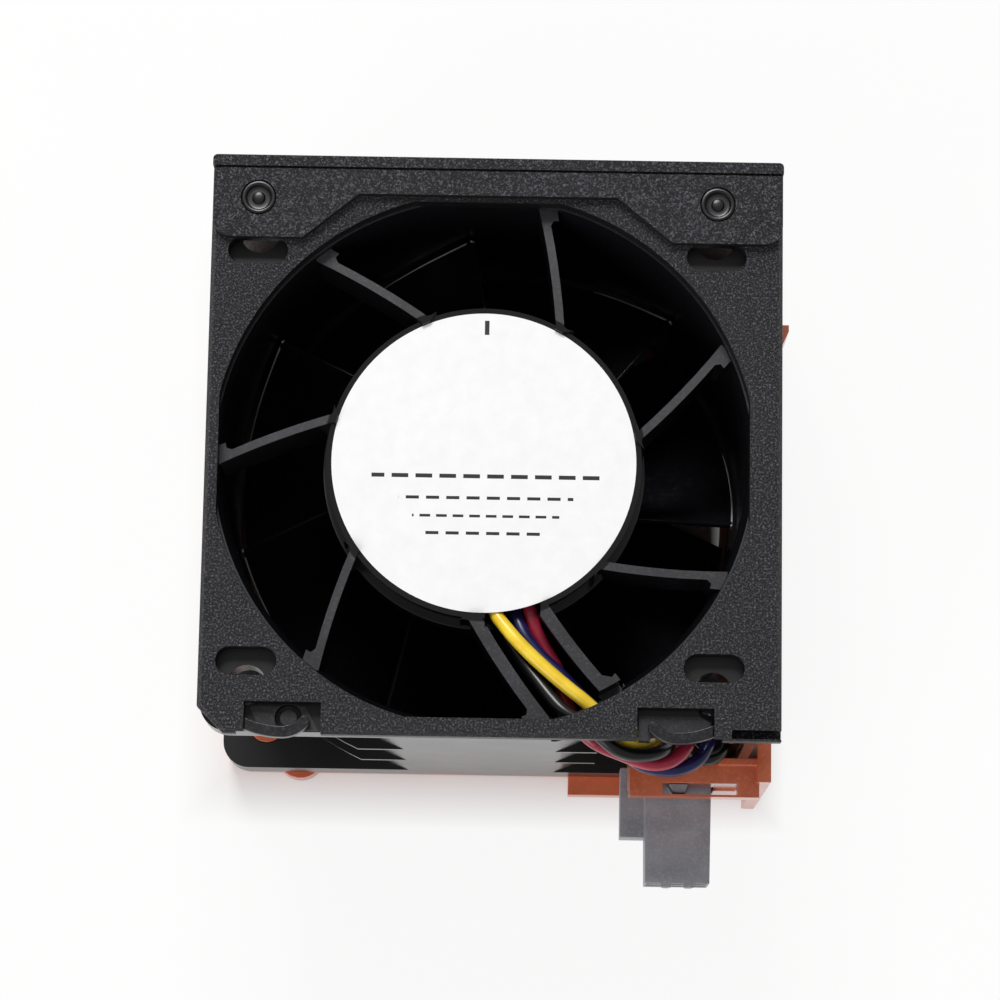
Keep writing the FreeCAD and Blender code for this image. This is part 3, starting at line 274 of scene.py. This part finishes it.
mouldedGreyNylon = mouldedPlastic("mouldedGreyNylon", {  # plug nylon, satin grey
    "dark": "8b8b91", "light": "9b9ba2", "fleck": "acacb2", "grainMm": 0.3, "driftMm": 3.0,
    "fleckFrom": 0.5, "fleckTo": 0.85, "roughFrom": 0.4, "roughTo": 0.5, "bumpStrength": 0.2,
    "grainDepthMm": 0.015, "ior": 1.53})
mouldedNaturalNylon = mouldedPlastic("mouldedNaturalNylon", {  # insulator nylon, milky
    "dark": "c9c3b0", "light": "ddd8c8", "fleck": "ece8dc", "grainMm": 0.4, "driftMm": 4.0,
    "fleckFrom": 0.5, "fleckTo": 0.85, "roughFrom": 0.4, "roughTo": 0.55, "bumpStrength": 0.15,
    "grainDepthMm": 0.015, "ior": 1.53})
mouldedBlackEpoxy = mouldedPlastic("mouldedBlackEpoxy", {  # chip bodies, matt with fine filler
    "dark": "161618", "light": "202023", "fleck": "303034", "grainMm": 0.15, "driftMm": 2.0,
    "fleckFrom": 0.5, "fleckTo": 0.8, "roughFrom": 0.55, "roughTo": 0.7, "bumpStrength": 0.3,
    "grainDepthMm": 0.01, "ior": 1.55})
bondedFerrite = mouldedPlastic("bondedFerrite", {  # magnet ring, dull grey-black powder in binder
    "dark": "242426", "light": "303033", "fleck": "4a4a4e", "grainMm": 0.2, "driftMm": 4.0,
    "fleckFrom": 0.5, "fleckTo": 0.8, "roughFrom": 0.6, "roughTo": 0.75, "bumpStrength": 0.3,
    "grainDepthMm": 0.02, "ior": 1.6})
firedAlumina = mouldedPlastic("firedAlumina", {  # resistor chips
    "dark": "2e2a28", "light": "3d3835", "fleck": "b9b4ac", "grainMm": 0.4, "driftMm": 1.2,
    "fleckFrom": 0.62, "fleckTo": 0.7, "roughFrom": 0.4, "roughTo": 0.6, "bumpStrength": 0.2,
    "grainDepthMm": 0.02, "ior": 1.6})
screenedSolderMask = mouldedPlastic("screenedSolderMask", {  # green mask over woven laminate
    "dark": "134a26", "light": "1a5c30", "fleck": "2b7443", "grainMm": 0.45, "driftMm": 3.0,
    "fleckFrom": 0.5, "fleckTo": 0.7, "roughFrom": 0.22, "roughTo": 0.35, "bumpStrength": 0.25,
    "grainDepthMm": 0.02, "ior": 1.5})


def extrudedPvc(name, colour, shade):  # wire insulation, smooth with a slight waviness from the die
    return mouldedPlastic(name, {
        "dark": shade, "light": colour, "fleck": colour, "grainMm": 1.2, "driftMm": 2.5,
        "fleckFrom": 0.4, "fleckTo": 0.9, "roughFrom": 0.24, "roughTo": 0.34, "bumpStrength": 0.12,
        "grainDepthMm": 0.02, "ior": 1.52})


blackPvc = extrudedPvc("blackPvc", "101013", "0a0a0c")
yellowPvc = extrudedPvc("yellowPvc", "fbd93f", "efc52a")
redPvc = extrudedPvc("redPvc", "b22c46", "8f1f35")
bluePvc = extrudedPvc("bluePvc", "1e1e56", "14143c")

rolledSteel = workedMetal("rolledSteel", {  # stamped laminations, grey with rolling lines
    "dark": "7d7f84", "light": "9da0a5", "stretch": (1, 1, 12), "lineMm": 0.4,
    "roughFrom": 0.3, "roughTo": 0.45, "lineDepthMm": 0.01})
zincPlatedSteel = workedMetal("zincPlatedSteel", {  # deep drawn cup
    "dark": "9a9ca0", "light": "bbbdc0", "stretch": (1, 1, 0.2), "lineMm": 0.5,
    "roughFrom": 0.25, "roughTo": 0.4, "lineDepthMm": 0.008})
groundSteel = workedMetal("groundSteel", {  # shaft and bearing rings, fine rings from grinding
    "dark": "b4b6ba", "light": "d2d4d7", "stretch": (0.2, 0.2, 6), "lineMm": 0.3,
    "roughFrom": 0.12, "roughTo": 0.22, "lineDepthMm": 0.004})
turnedBrass = workedMetal("turnedBrass", {  # bushing, warm with turning lines
    "dark": "b08a45", "light": "d0ab62", "stretch": (0.2, 0.2, 6), "lineMm": 0.3,
    "roughFrom": 0.2, "roughTo": 0.32, "lineDepthMm": 0.006})
enamelledCopper = workedMetal("enamelledCopper", {  # wound wire, reddish, lines are the turns
    "dark": "8a3c1d", "light": "c0663a", "stretch": (1, 1, 3), "lineMm": 0.3,
    "roughFrom": 0.22, "roughTo": 0.36, "lineDepthMm": 0.05})
drawnAluminium = workedMetal("drawnAluminium", {  # capacitor can
    "dark": "b8babd", "light": "d6d8da", "stretch": (0.3, 0.3, 4), "lineMm": 0.3,
    "roughFrom": 0.22, "roughTo": 0.34, "lineDepthMm": 0.005})
tinPlatedBronze = workedMetal("tinPlatedBronze", {  # contacts, bright and slightly yellow
    "dark": "b5b0a2", "light": "d3cfc3", "stretch": (1, 5, 1), "lineMm": 0.2,
    "roughFrom": 0.18, "roughTo": 0.3, "lineDepthMm": 0.004})


def printedLabelFilm(look):
    # white polyester film: faint calendered mottling, with a plain tick and plain dashes printed in black
    material, tree, shader, place = startMaterial("printedLabelFilm")
    axes = addNode(tree, "ShaderNodeSeparateXYZ", {"Vector": place}).node.outputs
    mottle = addNode(tree, "ShaderNodeTexNoise", {
        "Vector": place, "Scale": perMm(look["mottleMm"]), "Detail": look["detail"]}, "Fac")
    film = addNode(tree, "ShaderNodeMix", {"Factor": mottle, "A": look["dark"], "B": look["light"]}, **inColour)

    def within(axis, middle, width):  # 1 inside a band, in mm
        shifted = addNode(tree, "ShaderNodeMath", {0: axes[axis], 1: middle * mm}, operation="SUBTRACT")
        size = addNode(tree, "ShaderNodeMath", {0: shifted}, operation="ABSOLUTE")
        return addNode(tree, "ShaderNodeMath", {0: size, 1: width / 2 * mm}, operation="LESS_THAN")

    def block(x, y, length, height):
        sides = {0: within("X", x, length), 1: within("Y", y, height)}
        return addNode(tree, "ShaderNodeMath", sides, operation="MULTIPLY")

    ink = block(look["tickX"], look["tickY"], look["tickWidth"], look["tickHeight"])
    for row in look["rows"]:
        half = row["pitch"] / 2 * mm
        step = addNode(tree, "ShaderNodeMath", {0: axes["X"], 1: half}, operation="PINGPONG")
        dash = addNode(tree, "ShaderNodeMath", {0: step, 1: half * row["gapShare"]}, operation="GREATER_THAN")
        band = block(row["x"], row["y"], row["length"], row["height"])
        dashes = addNode(tree, "ShaderNodeMath", {0: band, 1: dash}, operation="MULTIPLY")
        ink = addNode(tree, "ShaderNodeMath", {0: ink, 1: dashes}, operation="MAXIMUM")
    gloss = addNode(tree, "ShaderNodeMapRange", {
        "Value": mottle, "To Min": look["roughFrom"], "To Max": look["roughTo"]})
    printed = addNode(tree, "ShaderNodeMix", {"Factor": ink, "A": film, "B": look["ink"]}, **inColour)
    finishShader(tree, shader, printed, gloss, mottle, look["bumpStrength"], look["mottleDepthMm"])
    return material


labelFilm = printedLabelFilm({
    "dark": "eeeeee", "light": "f8f8f8", "ink": "1a1a1c", "mottleMm": 1.5, "detail": 2.0,
    "roughFrom": 0.38, "roughTo": 0.5, "bumpStrength": 0.1, "mottleDepthMm": 0.01,
    "tickX": 0.1, "tickY": 15.0, "tickWidth": 0.5, "tickHeight": 1.6,
    "rows": [
        {"x": 0.3, "y": -1.6, "length": 25.0, "height": 0.45, "pitch": 2.6, "gapShare": 0.3},
        {"x": 0.3, "y": -4.0, "length": 19.0, "height": 0.35, "pitch": 2.2, "gapShare": 0.35},
        {"x": 0.3, "y": -6.0, "length": 16.0, "height": 0.3, "pitch": 1.8, "gapShare": 0.35},
        {"x": 0.3, "y": -7.9, "length": 13.0, "height": 0.35, "pitch": 2.2, "gapShare": 0.35},
    ]})
print("materials made:", len(bpy.data.materials))


finishes = {
    "fan_frame": smoothPbt, "exhaust_plate": sparkErodedAbs, "left_spring_finger": satinAbs,
    "right_spring_finger": satinAbs, "top_cover": coverAbsShadedFront, "latch_frame": mouldedTerracottaAbs,
    "release_latch": mouldedTerracottaAbs, "impeller": polishedPbt, "connector_housing": mouldedGreyNylon,
    "circuit_board": screenedSolderMask, "driver_chip": mouldedBlackEpoxy, "hall_sensor": mouldedBlackEpoxy,
    "filter_capacitor": drawnAluminium, "chip_resistors": firedAlumina, "stator_core": rolledSteel,
    "stator_insulators": mouldedNaturalNylon, "stator_windings": enamelledCopper,
    "bearing_outer_rings": groundSteel, "bearing_inner_rings": groundSteel, "bearing_balls": groundSteel,
    "hub_bushing": turnedBrass, "rotor_yoke": zincPlatedSteel, "magnet_ring": bondedFerrite,
    "shaft": groundSteel, "retaining_clip": zincPlatedSteel, "preload_spring": zincPlatedSteel,
    "cover_rivets": glossyNylon, "contact_terminals": tinPlatedBronze, "rating_label": labelFilm,
    "lead_black": blackPvc, "lead_yellow": yellowPvc, "lead_red": redPvc, "lead_blue": bluePvc,
}
for nodeName, material in finishes.items():
    dress(nodeName, material)

edgeRadii = {  # mm
    "fan_frame": 0.12, "exhaust_plate": 0.18, "top_cover": 0.15, "latch_frame": 0.2, "release_latch": 0.15,
    "left_spring_finger": 0.15, "right_spring_finger": 0.15, "connector_housing": 0.12, "impeller": 0.1,
}
for nodeName, width in edgeRadii.items():
    roundEdges(nodeName, width)
print("CAD nodes dressed")

rivetLook = {  # mm: radii, and depths below the top; the crown is (radius, depth) from the rim inwards
    "rim": 1.85, "shank": 1.27, "seat": 0.6, "rimDrop": 0.05,
    "crown": [(1.85, 0.16), (1.8, 0.04), (1.7, 0.0), (1.52, 0.0), (1.42, 0.05), (1.34, 0.2), (1.26, 0.34),
              (1.12, 0.38), (0.74, 0.36), (0.66, 0.26), (0.58, 0.14), (0.42, 0.08), (0.2, 0.06), (0.0, 0.06)]}


def rivetHeads(work):  # a stepped ring with a domed pin in its dish, turned around each rivet's own axis
    low, high = (corner / mm for corner in map(Vector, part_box("cover_rivets")))
    top = high.z - rivetLook["rimDrop"]
    seat = high.z - rivetLook["seat"]
    profile = [(0.0, low.z), (rivetLook["shank"], low.z), (rivetLook["shank"], seat), (rivetLook["rim"], seat)]
    profile += [(radius, top - depth) for radius, depth in rivetLook["crown"]]
    for middleX in (low.x + rivetLook["rim"], high.x - rivetLook["rim"]):
        latheInto(work, profile, (middleX, (low.y + high.y) / 2))


newPiece("pushRivets", rivetHeads, glossyNylon, "housing", ["cover_rivets"])
print("rivets turned")

tipLook = {  # mm, but for the taper, the rise of a face's normal, the fewest points of a line and the rounds
    "bead": 0.12, "radius": 28.1, "tolerance": 0.06, "lowest": 16.5, "inset": 0.04, "weld": 0.002,
    "taper": 0.75, "rise": 0.1, "fewest": 4, "rounds": 3}


def tipChains(look):  # the upper edge of each blade's tip, from its trailing corner down
    work = bmesh.new()
    work.from_mesh(nodes["impeller"].data)
    bmesh.ops.remove_doubles(work, verts=work.verts, dist=look["weld"] * mm)
    onTip = {v for v in work.verts if abs(v.co.xy.length / mm - look["radius"]) < look["tolerance"]}
    joined = {}
    for edge in work.edges:
        first, second = edge.verts
        if first not in onTip or second not in onTip:
            continue
        inner = [face for face in edge.link_faces if any(v not in onTip for v in face.verts)]
        if len(inner) == 1 and inner[0].normal.z > look["rise"]:
            joined.setdefault(first, []).append(second)
            joined.setdefault(second, []).append(first)
    chains, seen = [], set()
    for start in sorted(joined, key=lambda v: v.index):
        if start in seen:
            continue
        chain, waiting = [], [start]
        while waiting:
            v = waiting.pop()
            if v not in seen:
                seen.add(v)
                chain.append(v.co.copy())
                waiting += joined[v]
        chain.sort(key=lambda co: -co.z)
        chains.append([co for co in chain if co.z > look["lowest"] * mm])
    work.free()
    return [chain for chain in chains if len(chain) >= look["fewest"]]


# pale beads laid along the upper tip edges of the blades: painted glints
def paintTipGlints(look):
    curve = bpy.data.curves.new("paintedBladeTipGlints", "CURVE")
    curve.dimensions = "3D"
    curve.bevel_depth = look["bead"] * mm
    curve.bevel_resolution = look["rounds"]
    curve.use_fill_caps = True
    for chain in tipChains(look):
        line = curve.splines.new("POLY")
        line.points.add(len(chain) - 1)
        for step, (point, co) in enumerate(zip(line.points, chain)):
            flat = co.xy * (1 - look["inset"] / look["radius"])
            point.co = (flat.x, flat.y, co.z, 1.0)
            point.radius = 1.0 - look["taper"] * step / len(chain)
    curve.materials.append(tipGlintPbt)
    beads = bpy.data.objects.new("paintedBladeTipGlints", curve)
    bpy.context.scene.collection.objects.link(beads)
    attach(beads, "rotor")
    print("blade tip glints painted:", len(curve.splines))


paintTipGlints(tipLook)

stageLook = {  # mm where not said; the shares are how much of the table is seen as plain white
    "size": 6000.0, "drop": 0.2, "dark": "ecebe9", "light": "f4f3f1", "glow": "ffffff", "glowShare": 0.9,
    "sky": "ffffff", "mottleMm": 14.0, "detail": 3.0, "roughness": 0.6,
    "hiddenTo": 27.0, "shownFrom": 36.0, "worldLight": 0.32, "worldSeen": 1.0}


def seenBy(tree):  # 1 for the eye, for mirror-like rays and for rays through clear pieces
    path = addNode(tree, "ShaderNodeLightPath").node.outputs
    seen = path["Is Camera Ray"]
    for way in ("Is Glossy Ray", "Is Transmission Ray"):
        seen = addNode(tree, "ShaderNodeMath", {0: seen, 1: path[way]}, operation="MAXIMUM")
    return seen


def paintedTable(look):  # matt white board: nearly white to the eye, and it keeps a soft shadow; near and under the fan its white glow fades out, a painted shade
    material, tree, shader, place = startMaterial("paintedBoard")
    mottle = addNode(tree, "ShaderNodeTexNoise", {
        "Vector": place, "Scale": perMm(look["mottleMm"]), "Detail": look["detail"]}, "Fac")
    tone = addNode(tree, "ShaderNodeMix", {"Factor": mottle, "A": look["dark"], "B": look["light"]}, **inColour)
    tree.links.new(tone, shader.inputs["Base Color"])
    shader.inputs["Roughness"].default_value = look["roughness"]
    # the glow share falls to nothing within hiddenTo mm of the centre lines: painted shade near and under the fan
    axes = addNode(tree, "ShaderNodeSeparateXYZ", {"Vector": place}).node.outputs
    across, along = (addNode(tree, "ShaderNodeMath", {0: axes[name]}, operation="ABSOLUTE") for name in "XY")
    reach = addNode(tree, "ShaderNodeMath", {0: across, 1: along}, operation="MAXIMUM")
    clear = addNode(tree, "ShaderNodeMapRange", {
        "Value": reach, "From Min": look["hiddenTo"] * mm, "From Max": look["shownFrom"] * mm,
        "To Max": look["glowShare"]})
    share = addNode(tree, "ShaderNodeMath", {0: clear, 1: seenBy(tree)}, operation="MULTIPLY")
    glow = addNode(tree, "ShaderNodeEmission", {"Color": look["glow"]})
    board = addNode(tree, "ShaderNodeMixShader", {0: share, 1: shader.outputs[0], 2: glow})
    tree.links.new(board, tree.nodes["Material Output"].inputs["Surface"])
    return material


floorMesh = bpy.data.meshes.new("table")
half = stageLook["size"] / 2 * mm
floorMesh.from_pydata([(-half, -half, 0), (half, -half, 0), (half, half, 0), (-half, half, 0)], [], [(0, 1, 2, 3)])
floorMesh.materials.append(paintedTable(stageLook))
floor = bpy.data.objects.new("table", floorMesh)
floor.location.z = -stageLook["drop"] * mm
bpy.context.scene.collection.objects.link(floor)

world = bpy.data.worlds.new("studio")
bpy.context.scene.world = world
world.use_nodes = True
air = world.node_tree
sky = air.nodes["Background"]
sky.inputs["Color"].default_value = hexToLinear(stageLook["sky"])
toEye = addNode(air, "ShaderNodeLightPath", give="Is Camera Ray")
air.links.new(addNode(air, "ShaderNodeMapRange", {
    "Value": toEye, "To Min": stageLook["worldLight"], "To Max": stageLook["worldSeen"]}), sky.inputs["Strength"])

lamps = {
    "overhead": {"place": (-0.12, 0.68, 0.82), "size": 0.42, "power": 8.4},
    "low": {"place": (-0.45, -0.65, 0.5), "size": 0.6, "power": 3.5},
}
target = Vector((0.001, -0.003, 0.03))
for lampName, lamp in lamps.items():
    data = bpy.data.lights.new(lampName, "AREA")
    data.shape = "SQUARE"
    data.size = lamp["size"]
    data.energy = lamp["power"]
    light = bpy.data.objects.new(lampName, data)
    light.location = lamp["place"]
    light.rotation_mode = "QUATERNION"
    light.rotation_quaternion = (target - light.location).to_track_quat("-Z", "Y")
    bpy.context.scene.collection.objects.link(light)

cameraLook = {  # degrees and mm: looks down on the exhaust face, tipped towards the plug's side
    "tilt": 10.748, "yaw": 0.207, "roll": 0.994, "distance": 391.6, "aimX": 1.84, "aimY": -4.728, "aimZ": 44.0,
    "sensor": 36.0, "lens": 130.7592, "nearest": 10.0, "farthest": 20000.0}


def placeCamera(look):
    tilt, yaw, roll = (math.radians(look[key]) for key in ("tilt", "yaw", "roll"))
    back = Vector((math.sin(yaw), -math.sin(tilt) * math.cos(yaw), math.cos(tilt) * math.cos(yaw))).normalized()
    right = Vector((0, 1, 0)).cross(back).normalized()
    up = back.cross(right)
    rolledRight = math.cos(roll) * right + math.sin(roll) * up
    rolledUp = -math.sin(roll) * right + math.cos(roll) * up
    aim = Vector((look["aimX"], look["aimY"], look["aimZ"])) * mm
    data = bpy.data.cameras.new("view")
    data.sensor_width = look["sensor"]
    data.lens = look["lens"]
    data.clip_start = look["nearest"] * mm
    data.clip_end = look["farthest"] * mm
    camera = bpy.data.objects.new("view", data)
    place = aim + back * look["distance"] * mm
    camera.matrix_world = Matrix.Translation(place) @ Matrix((rolledRight, rolledUp, back)).transposed().to_4x4()
    bpy.context.scene.collection.objects.link(camera)
    bpy.context.scene.camera = camera


placeCamera(cameraLook)
bpy.context.scene.view_settings.view_transform = "Standard"
print("stage, lamps and camera set")
